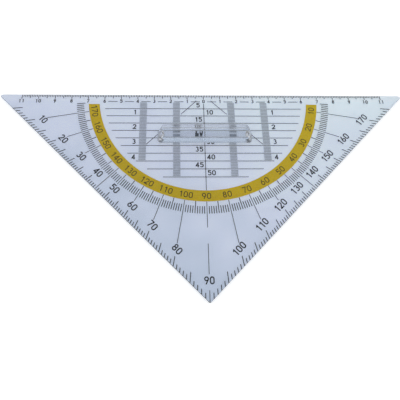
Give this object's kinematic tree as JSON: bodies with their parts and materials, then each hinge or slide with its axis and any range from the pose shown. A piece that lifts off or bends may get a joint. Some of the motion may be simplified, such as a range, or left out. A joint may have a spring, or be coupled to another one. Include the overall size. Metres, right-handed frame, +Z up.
{
  "type": "geometry triangle",
  "caption": "Clear set square with protractor scale, centimetre edge, parallel guide lines and a press-on clear finger grip, for measuring and drawing angles and parallels.",
  "frame": {"origin": "zero point of all scales: middle of the drawing edge, on the underside of the plate", "axes": "+X along the drawing edge to the right, +Y out of the drawing edge away from the right-angled corner, +Z up through the plate towards the grip"},
  "size_m": [0.2454, 0.1242, 0.0089],
  "materials": {
    "clear_plate": "clear moulded plastic with a faint blue tint",
    "clear_grip": "clear moulded plastic",
    "yellow_ink": "opaque yellow printing ink",
    "brown_ink": "opaque dark ink over the yellow band",
    "grey_ink": "opaque grey printing ink",
    "black_ink": "opaque black printing ink"
  },
  "bodies": {
    "plate": {"plate": "clear_plate", "degree_band": "yellow_ink", "band_numerals": "brown_ink", "centimetre_ticks": "black_ink", "centimetre_numerals": "black_ink", "parallel_lines": "black_ink", "hatched_columns": "grey_ink", "line_numerals": "black_ink", "degree_ring": "black_ink", "degree_rays": "black_ink", "left_leg_ticks": "black_ink", "right_leg_ticks": "black_ink", "leg_numerals": "black_ink"},
    "grip": {"grip": "clear_grip"}
  },
  "joints": [
    {"name": "grip_lift", "type": "slide", "parent": "plate", "child": "grip", "axis": [0, 0, 1], "range_m": [0, 0.02]}
  ]
}
